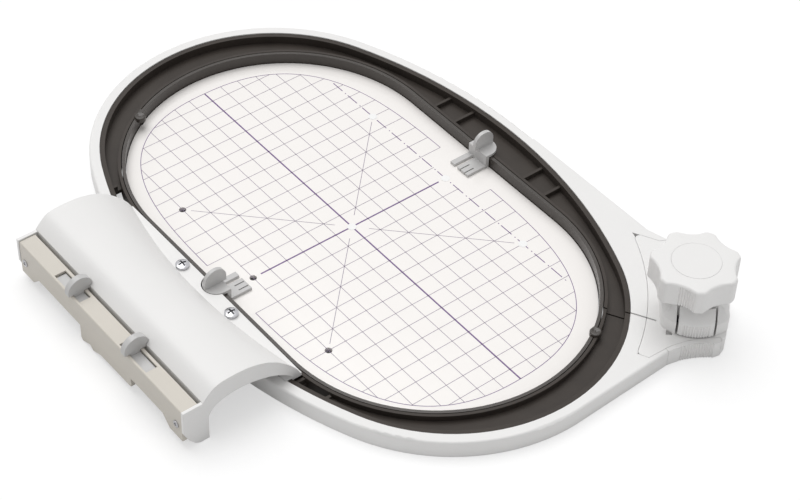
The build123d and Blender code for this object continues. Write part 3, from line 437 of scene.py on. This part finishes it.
def turned(rows, axis, columns):
    """Rows of radius and height carried round an upright axis: at each angle the radius
    times its cosine and its sine, with the first and last row closed by a lid."""
    radius, height = full_rows(rows, columns)
    angle = np.linspace(0, 2 * np.pi, columns, endpoint=False)
    x = axis[0] + radius * np.cos(angle)
    y = axis[1] + radius * np.sin(angle)
    points = np.stack((x, y, height), axis=2).reshape(-1, 3) * MM
    quads, lids = round_faces(len(rows), columns)
    return points, quads.tolist() + lids.tolist()


button_flat = BUTTON_RADIUS - BUTTON_ROUND
# from the middle of the dish out to its edge, round the edge, and down to the foot
button_rows = [
    *[(button_flat * share, BUTTON_TOP - BUTTON_DISH * (1 - share**2))
      for share in np.linspace(CORE_SHARE, 1, BUTTON_DISH_ROWS)[:-1]],
    *[(button_flat + BUTTON_ROUND * np.cos(bend),
       BUTTON_TOP - BUTTON_ROUND + BUTTON_ROUND * np.sin(bend))
      for bend in np.linspace(np.pi / 2, 0, BUTTON_ROUND_ROWS)],
    (BUTTON_RADIUS, BUTTON_FOOT),
]
for side, peg in PEGS.items():
    button = turned(button_rows, peg, BUTTON_COLUMNS)
    new_solid("peg_button_" + side, *button, polished_dark, "ring", "dark_frame", MOULD_CREASE)

# Spindle, its washer, retaining ring and draw nut: turned steel, hidden except where the
# knob and the tab leave them a gap. The nut sits in the base, the rest in the housing.
STEEL = (0.55, 0.55, 0.57)
STEEL_SHADE = (0.48, 0.48, 0.50)
steel = moulded("turned_steel", STEEL, STEEL_SHADE, rough=0.28, grain=2600.0, metal=1.0)
dress(steel, "tension_spindle", "retaining_ring", "thrust_washer", "tension_nut")

# Tab spring: drawn wire coiled with closed ends. It stands behind the latch, against the
# wall of the housing's bore.
COIL_SIDES = 10
COIL_STEPS = 40
END_TURN_SHARE = 0.16
WIRE_CREASE = 60
TAB_SPRING_LENGTH = 2.2 * MM
TAB_SPRING_TURNS = 3
TAB_SPRING_RADIUS = 1.6 * MM
TAB_SPRING_WIRE = 0.42 * MM
tab_anchor = (0.13985, 0.09309, 0.01355)
tab_axis = (CLAMP_OUT[0], CLAMP_OUT[1], 0)


def coil_wire(start, axis, length, turns, radius, wire):
    """A tube round a helix: the angle grows evenly, the rise holds still over the first and
    last turns, and the tube's circle is spanned by the outward direction and the axis."""
    axis = np.array(axis, float)
    e1 = np.cross(axis, (0, 0, 1))
    e1 /= np.linalg.norm(e1)
    e2 = np.cross(axis, e1)
    t = np.linspace(0, 1, int(turns * COIL_STEPS))
    phi = 2 * np.pi * turns * t
    climb = np.clip((t - END_TURN_SHARE) / (1 - 2 * END_TURN_SHARE), 0, 1)
    outward = np.cos(phi)[:, None] * e1 + np.sin(phi)[:, None] * e2
    rise = (wire / 2 + (length - wire) * climb)[:, None] * axis
    path = np.array(start) + rise + outward * radius
    psi = np.linspace(0, 2 * np.pi, COIL_SIDES, endpoint=False)
    circle = np.cos(psi)[None, :, None] * outward[:, None, :] + np.sin(psi)[None, :, None] * axis
    points = (path[:, None, :] + circle * wire / 2).reshape(-1, 3)
    quads, lids = round_faces(len(t), COIL_SIDES)
    return points, quads.tolist() + lids.tolist()


coil = coil_wire(tab_anchor, tab_axis, TAB_SPRING_LENGTH, TAB_SPRING_TURNS, TAB_SPRING_RADIUS,
                 TAB_SPRING_WIRE)
tab_coil = new_solid("tab_return_spring", *coil, steel, "root", "spring_steel", WIRE_CREASE)
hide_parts("tab_spring")
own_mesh(tab_coil)

# Star knob: a hollow white moulding with seven lobes, fluted in three of its scallops where
# the fingers press, and pushed onto the spindle. A flat cap is let into its top. In mm.
LOBES = 7
PHASE = np.radians(13.9)
TIP = 21.5
SCALLOP = 17.0
WAIST = 18.6
SOFTNESS = 2.6
FAR_AWAY = 99.0
TOP_ROUND = 1.5
TOP_ROUND_ROWS = 7
WALL = 2.4
ROOF = 3.2
NECK = 8.0
NECK_PLAY = 0.05
BORE = 4.05
BORE_TIP = 0.1
SEAT_RADIUS = 11.79
SEAT_DEPTH = 1.2
SEAT_BREAK = 0.1
FLUTED = (1, 2, 5)
FLUTES = 7
FLUTE_PITCH = 1.25
FLUTE_LEAD = 2.4
FLUTE_DEPTH = 0.6
FLUTE_SPREAD = 0.33
FLUTE_START = 0.3
RIM_DROP = 13.2
RIM_BREAK = 0.4
KNOB_COLUMNS = 1400
knob_low, knob_high = (value[2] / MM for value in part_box("star_knob"))
knob_rim = knob_high - RIM_DROP
scallop_at = PHASE + (np.arange(LOBES) + 0.5) * (2 * np.pi / LOBES)
scallop_out = WAIST + SCALLOP


def turned_off(theta, middles):
    """Angle from each middle to theta, brought between minus and plus half a turn."""
    return (theta[:, None] - middles + np.pi) % (2 * np.pi) - np.pi


def star_radius(theta):
    """Radius of the star at an angle: a circle through the lobe tips and a ring of scallop
    circles, blended by a soft minimum so that every lobe corner is rounded."""
    off = turned_off(theta, scallop_at)
    inside = SCALLOP**2 - (scallop_out * np.sin(off)) ** 2
    near = scallop_out * np.cos(off) - np.sqrt(np.maximum(inside, 0))
    near = np.where((inside > 0) & (np.cos(off) > 0), near, FAR_AWAY)
    blend = np.exp(-SOFTNESS * TIP) + np.exp(-SOFTNESS * near.min(axis=1))
    return -np.log(blend) / SOFTNESS


def flute_dip(theta):
    """Depth of the flutes at an angle: one bell-shaped groove for each, spaced evenly along
    the scallop's arc and leading a little to one side of its middle."""
    steps = (np.arange(FLUTES) - (FLUTES - 1) / 2) * FLUTE_PITCH + FLUTE_LEAD
    swing = steps / SCALLOP
    lean = np.arctan2(-SCALLOP * np.sin(swing), scallop_out - SCALLOP * np.cos(swing))
    bearing = scallop_at[list(FLUTED)][:, None] - lean
    return bells(turned_off(theta, bearing.ravel()) * WAIST, FLUTE_DEPTH, FLUTE_SPREAD)


knob_turn = np.linspace(0, 2 * np.pi, KNOB_COLUMNS, endpoint=False)
star = star_radius(knob_turn)
fluted = star - flute_dip(knob_turn)
# out from the cap's seat over the top edge, down the fluted side, up the hollow to the bore
knob_rows = [
    (SEAT_RADIUS * CORE_SHARE, knob_high - SEAT_DEPTH),
    (SEAT_RADIUS, knob_high - SEAT_DEPTH),
    (SEAT_RADIUS, knob_high - SEAT_BREAK),
    (SEAT_RADIUS + SEAT_BREAK, knob_high),
    *[(star - TOP_ROUND * (1 - np.sin(bend)), knob_high - TOP_ROUND * (1 - np.cos(bend)))
      for bend in np.linspace(0, np.pi / 2, TOP_ROUND_ROWS)],
    (fluted, knob_high - TOP_ROUND - FLUTE_START),
    (fluted, knob_rim + RIM_BREAK),
    (fluted - RIM_BREAK, knob_rim),
    (star - WALL, knob_rim),
    (star - WALL, knob_high - ROOF),
    (NECK, knob_high - ROOF),
    (NECK, knob_low + NECK_PLAY),
    (BORE, knob_low + NECK_PLAY),
    (BORE, knob_high - ROOF),
    (BORE_TIP, knob_high - ROOF),
]
knob = new_solid("fluted_star_knob", *turned(knob_rows, KNOB_AXIS, KNOB_COLUMNS), white,
                 "knob", "white_shell", MOULD_CREASE)
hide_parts("star_knob")
dress(white, "knob_cap")

# Arm housing: the arched white shell that reaches from the rim to the machine coupling,
# moulded in one with its foot and held to the rim by two cross-head screws.
dress(white, "arm_housing")

# Screws: plated pan heads with a cross recess. Two hold the housing's foot to the rim, and a
# smaller one at each end holds the coupling bar in the housing's cheeks.
CHROME = (0.58, 0.58, 0.60)
CHROME_SHADE = (0.45, 0.45, 0.47)
# painted shade: the cross recess and the middle of each head are dark for the shade in them
RECESS_PAINTED_SHADE = (0.10, 0.10, 0.105)
RECESS_PAINTED_SHADE_DEEP = (0.07, 0.07, 0.075)
HEAD_ROWS = 34
HEAD_COLUMNS = 96
HEAD_CORE = 0.01
HEAD_CREASE = 35
HOUSING_SCREW_X = 20.2 * MM
HOUSING_SCREW_Y = -86.9 * MM
BAR_SCREW_X = 63.4 * MM
BAR_SCREW_Z = 12.6 * MM
chrome = moulded("plated_screw", CHROME, CHROME_SHADE, rough=0.2, grain=2600.0, bump=0.01,
                 metal=1.0)
recess_shade_paint = moulded("screw_recess_painted_shade", RECESS_PAINTED_SHADE, RECESS_PAINTED_SHADE_DEEP, rough=0.4, metal=0.6)


def pan_head(radius, thickness, dome, cross_half, cross_reach, cross_depth):
    """One head about its own axis on a polar grid: height falls from the crown with the
    square of the radius, the cross is let in near its two arms, and the side drops to the
    foot. Also says which faces lie in the cross."""
    angle = np.linspace(0, 2 * np.pi, HEAD_COLUMNS, endpoint=False)
    steps = np.concatenate((np.linspace(HEAD_CORE, 1, HEAD_ROWS), [1.0])) * radius
    r, a = np.meshgrid(steps, angle, indexing="ij")
    x, y = r * np.cos(a), r * np.sin(a)
    height = -dome * (r / radius) ** 2
    narrow = np.minimum(np.abs(x), np.abs(y)) < cross_half
    arm = narrow & (np.maximum(np.abs(x), np.abs(y)) < cross_reach)
    height = np.where(arm, height - cross_depth, height)
    height[-1] = -thickness
    quads, lids = round_faces(len(steps), HEAD_COLUMNS)
    inside = arm.ravel()[quads[:, 0]] & arm.ravel()[quads[:, 2]]
    return np.stack((x, y, height), axis=2).reshape(-1, 3), quads, lids, inside


def drive(name, head, crowns, across, along, out, replaced):
    """Set a copy of the head on each crown point, its axis along out, and put the set in
    place of the plain solids. The faces in the cross and the lid at its middle are painted
    dark: painted shade for the recess."""
    flat, quads, lids, inside = head
    axes = np.array((across, along, out), float)
    points = np.concatenate([flat @ axes + crown for crown in crowns])
    shift = np.arange(len(crowns))[:, None, None] * len(flat)
    faces = (quads + shift).reshape(-1, 4).tolist()
    faces += (lids + shift).reshape(-1, HEAD_COLUMNS).tolist()
    # painted shade on the faces of the cross recess and its middle lid
    painted_shade_faces = np.concatenate((np.tile(inside, len(crowns)), [1, 0] * len(crowns)))
    piece = new_solid(name, points, faces, chrome, "root", "screws", HEAD_CREASE)
    piece.data.materials.append(recess_shade_paint)
    piece.data.polygons.foreach_set("material_index", painted_shade_faces.astype(int))
    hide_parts(replaced)


housing_head = pan_head(radius=3.4 * MM, thickness=2.2 * MM, dome=0.9 * MM,
                        cross_half=0.42 * MM, cross_reach=2.1 * MM, cross_depth=0.8 * MM)
housing_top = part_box("housing_screws")[1][2]
housing_crowns = [(x, HOUSING_SCREW_Y, housing_top) for x in (-HOUSING_SCREW_X, HOUSING_SCREW_X)]
drive("housing_cross_screws", housing_head, housing_crowns, (1, 0, 0), (0, 1, 0), (0, 0, 1),
      "housing_screws")
bar_head = pan_head(radius=1.9 * MM, thickness=0.9 * MM, dome=0.3 * MM,
                    cross_half=0.3 * MM, cross_reach=1.1 * MM, cross_depth=0.5 * MM)
bar_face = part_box("bar_screws")[0][1]
bar_crowns = [(x, bar_face, BAR_SCREW_Z) for x in (-BAR_SCREW_X, BAR_SCREW_X)]
drive("bar_cross_screws", bar_head, bar_crowns, (1, 0, 0), (0, 0, 1), (0, -1, 0), "bar_screws")

# Coupling bar and its toothed plate: a warm grey glass-filled moulding that slides into the
# machine's carriage, so it is harder and duller than the shell.
BAR = (0.645, 0.605, 0.54)
BAR_SHADE = (0.60, 0.565, 0.505)
beige = moulded("coupling_moulding", BAR, BAR_SHADE, rough=0.36, grain=1700.0, bump=0.05)
dress(beige, "coupling_bar", "coupling_plate")

# Release levers: grey catches that a finger squeezes together in the bar, each pushed back
# by a wire spring. They are moulded of the same material as the template's catches.
dress(grey, "release_lever_left", "release_lever_right")

# Lever springs: two longer coils of drawn wire, each between the bar's middle rib and the
# foot of its lever.
LEVER_SPRING_TURNS = 6.5
LEVER_SPRING_RADIUS = 2.3 * MM
LEVER_SPRING_WIRE = 0.55 * MM
for side, toward in (("left", -1), ("right", 1)):
    low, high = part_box("lever_spring_" + side)
    length = high[0] - low[0]
    inner_end = high[0] if toward < 0 else low[0]
    root_end = (inner_end, (low[1] + high[1]) / 2, (low[2] + high[2]) / 2)
    coil = coil_wire(root_end, (toward, 0, 0), length, LEVER_SPRING_TURNS, LEVER_SPRING_RADIUS,
                     LEVER_SPRING_WIRE)
    spring = new_solid("lever_return_spring_" + side, *coil, steel, "root", "spring_steel",
                       WIRE_CREASE)
    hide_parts("lever_spring_" + side)
    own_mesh(spring)

# Floor: a broad sheet of matt white paper that the hoop lies on. To the camera it has a
# darker tone and a glow of its own, so that it reads as white and still takes the shadow.
FLOOR_HALF = 8.0
FLOOR_ROUGH = 0.9
FLOOR_TONE = (0.86, 0.86, 0.86, 1)
FLOOR_SEEN = (0.50, 0.50, 0.50, 1)
FLOOR_GLOW = 0.53
floor_mesh = bpy.data.meshes.new("floor")
floor_corners = np.array([(-1, -1, 0), (1, -1, 0), (1, 1, 0), (-1, 1, 0)]) * FLOOR_HALF
floor_mesh.from_pydata(floor_corners.tolist(), [], [(0, 1, 2, 3)])
floor = bpy.data.objects.new("floor", floor_mesh)
bpy.context.scene.collection.objects.link(floor)
floor_material = bpy.data.materials.new("studio_floor")
floor_material.use_nodes = True
floor_tree = floor_material.node_tree
floor_shader = floor_tree.nodes["Principled BSDF"]
floor_shader.inputs["Roughness"].default_value = FLOOR_ROUGH
floor_shader.inputs["Specular IOR Level"].default_value = 0.0
floor_rays = floor_tree.nodes.new("ShaderNodeLightPath")
floor_tone = floor_tree.nodes.new("ShaderNodeMix")
floor_tone.data_type = "RGBA"
floor_tone.inputs[6].default_value = FLOOR_TONE
floor_tone.inputs[7].default_value = FLOOR_SEEN
floor_tree.links.new(floor_rays.outputs["Is Camera Ray"], floor_tone.inputs["Factor"])
floor_tree.links.new(floor_tone.outputs[2], floor_shader.inputs["Base Color"])
floor_glow = floor_tree.nodes.new("ShaderNodeMath")
floor_glow.operation = "MULTIPLY"
floor_glow.inputs[1].default_value = FLOOR_GLOW
floor_tree.links.new(floor_rays.outputs["Is Camera Ray"], floor_glow.inputs[0])
floor_shader.inputs["Emission Color"].default_value = (1, 1, 1, 1)
floor_tree.links.new(floor_glow.outputs[0], floor_shader.inputs["Emission Strength"])
floor_mesh.materials.append(floor_material)

# Light: one broad lamp high on the side away from the camera, and an even studio round it.
# The studio shows white to the camera, and to metal and glass.
KEY_FROM = np.array((-0.62, 0.10, 1.6))
KEY_STRENGTH = 1.62
KEY_SPREAD = 0.9
STUDIO_LEVEL = 0.5
key_data = bpy.data.lights.new("key_lamp", "SUN")
key_data.energy = KEY_STRENGTH
key_data.angle = KEY_SPREAD
key = bpy.data.objects.new("key_lamp", key_data)
back = KEY_FROM / np.linalg.norm(KEY_FROM)
right = np.cross((0, 1, 0), back)
right /= np.linalg.norm(right)
up = np.cross(back, right)
key.matrix_world = Matrix([[right[i], up[i], back[i]] for i in range(3)]).to_4x4()
bpy.context.scene.collection.objects.link(key)
world = bpy.data.worlds.new("studio")
bpy.context.scene.world = world
world.use_nodes = True
tree = world.node_tree
sky = tree.nodes["Background"]
sky.inputs["Color"].default_value = (1, 1, 1, 1)
rays = tree.nodes.new("ShaderNodeLightPath")
direct = tree.nodes.new("ShaderNodeMath")
direct.operation = "MAXIMUM"
tree.links.new(rays.outputs["Is Camera Ray"], direct.inputs[0])
tree.links.new(rays.outputs["Is Glossy Ray"], direct.inputs[1])
seen = tree.nodes.new("ShaderNodeMath")
seen.operation = "MAXIMUM"
tree.links.new(direct.outputs[0], seen.inputs[0])
tree.links.new(rays.outputs["Is Transmission Ray"], seen.inputs[1])
level = tree.nodes.new("ShaderNodeMapRange")
level.inputs["To Min"].default_value = STUDIO_LEVEL
level.inputs["To Max"].default_value = 1.0
tree.links.new(seen.outputs[0], level.inputs["Value"])
tree.links.new(level.outputs["Result"], sky.inputs["Strength"])

# Camera: where the photograph was taken from, with its own lens, from the coupling's side
# and above. It was solved on the template's printed grid.
CAMERA_AT = (0.5971255, -0.4741300, 0.7207831)
CAMERA_RIGHT = (0.6230, 0.7816, 0.0311)
CAMERA_DOWN = (0.5566, -0.4150, -0.7197)
CAMERA_AHEAD = (-0.5496, 0.4656, -0.6936)
CAMERA_LENS = 95.303
CAMERA_SENSOR = 36
CAMERA_CLIP = 0.01
camera_data = bpy.data.cameras.new("camera")
camera_data.lens = CAMERA_LENS
camera_data.sensor_width = CAMERA_SENSOR
camera_data.clip_start = CAMERA_CLIP
camera = bpy.data.objects.new("camera", camera_data)
turn_to = Matrix([[CAMERA_RIGHT[i], -CAMERA_DOWN[i], -CAMERA_AHEAD[i]] for i in range(3)])
camera.matrix_world = Matrix.Translation(CAMERA_AT) @ turn_to.to_4x4()
bpy.context.scene.collection.objects.link(camera)
bpy.context.scene.camera = camera
bpy.context.scene.view_settings.view_transform = "Standard"
